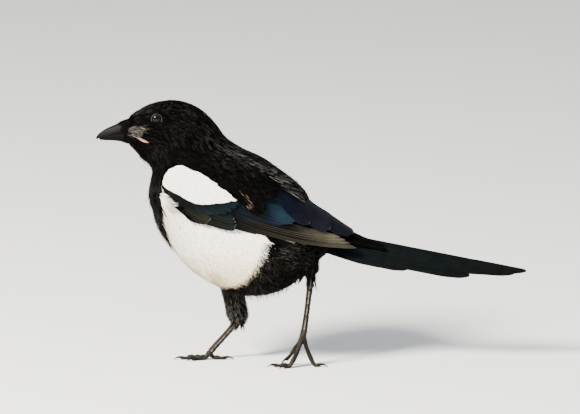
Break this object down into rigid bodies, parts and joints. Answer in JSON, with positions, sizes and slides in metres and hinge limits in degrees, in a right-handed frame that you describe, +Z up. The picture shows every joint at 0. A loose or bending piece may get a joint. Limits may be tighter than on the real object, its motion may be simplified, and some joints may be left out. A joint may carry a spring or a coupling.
{
  "type": "eurasian magpie, still display model",
  "caption": "Life-size still model of a walking black and white magpie with folded glossy wings and a long graduated tail.",
  "frame": {"origin": "on the ground under the middle of the whole length from bill tip to tail tip and of the whole width", "axes": "the bird faces -X, its left side is towards -Y, +Z is up"},
  "size_m": [0.4086, 0.092, 0.2542],
  "materials": {
    "black_plumage": "soft black body feathers with a faint purple and blue sheen",
    "white_plumage": "soft white body feathers, slightly cream below",
    "glossy_feather": "stiff flight feathers with a blue, green and bronze gloss",
    "horn": "smooth black-grey horn of bill and claws",
    "scaled_skin": "dark scaled skin of the legs and toes",
    "eye": "wet dark brown eye"
  },
  "bodies": {
    "root": {"head": "black_plumage", "neck": "black_plumage", "torso": "white_plumage", "rump": "black_plumage", "bill_upper": "horn", "bill_lower": "horn", "eye_left": "eye", "eye_right": "eye", "wing_left": "glossy_feather", "wing_right": "glossy_feather", "tail": "glossy_feather", "thigh_left": "black_plumage", "thigh_right": "black_plumage", "tarsus_left": "scaled_skin", "tarsus_right": "scaled_skin", "foot_left": "scaled_skin", "foot_right": "scaled_skin", "claw_inner_left": "horn", "claw_middle_left": "horn", "claw_outer_left": "horn", "claw_hind_left": "horn", "claw_inner_right": "horn", "claw_middle_right": "horn", "claw_outer_right": "horn", "claw_hind_right": "horn"}
  },
  "joints": []
}
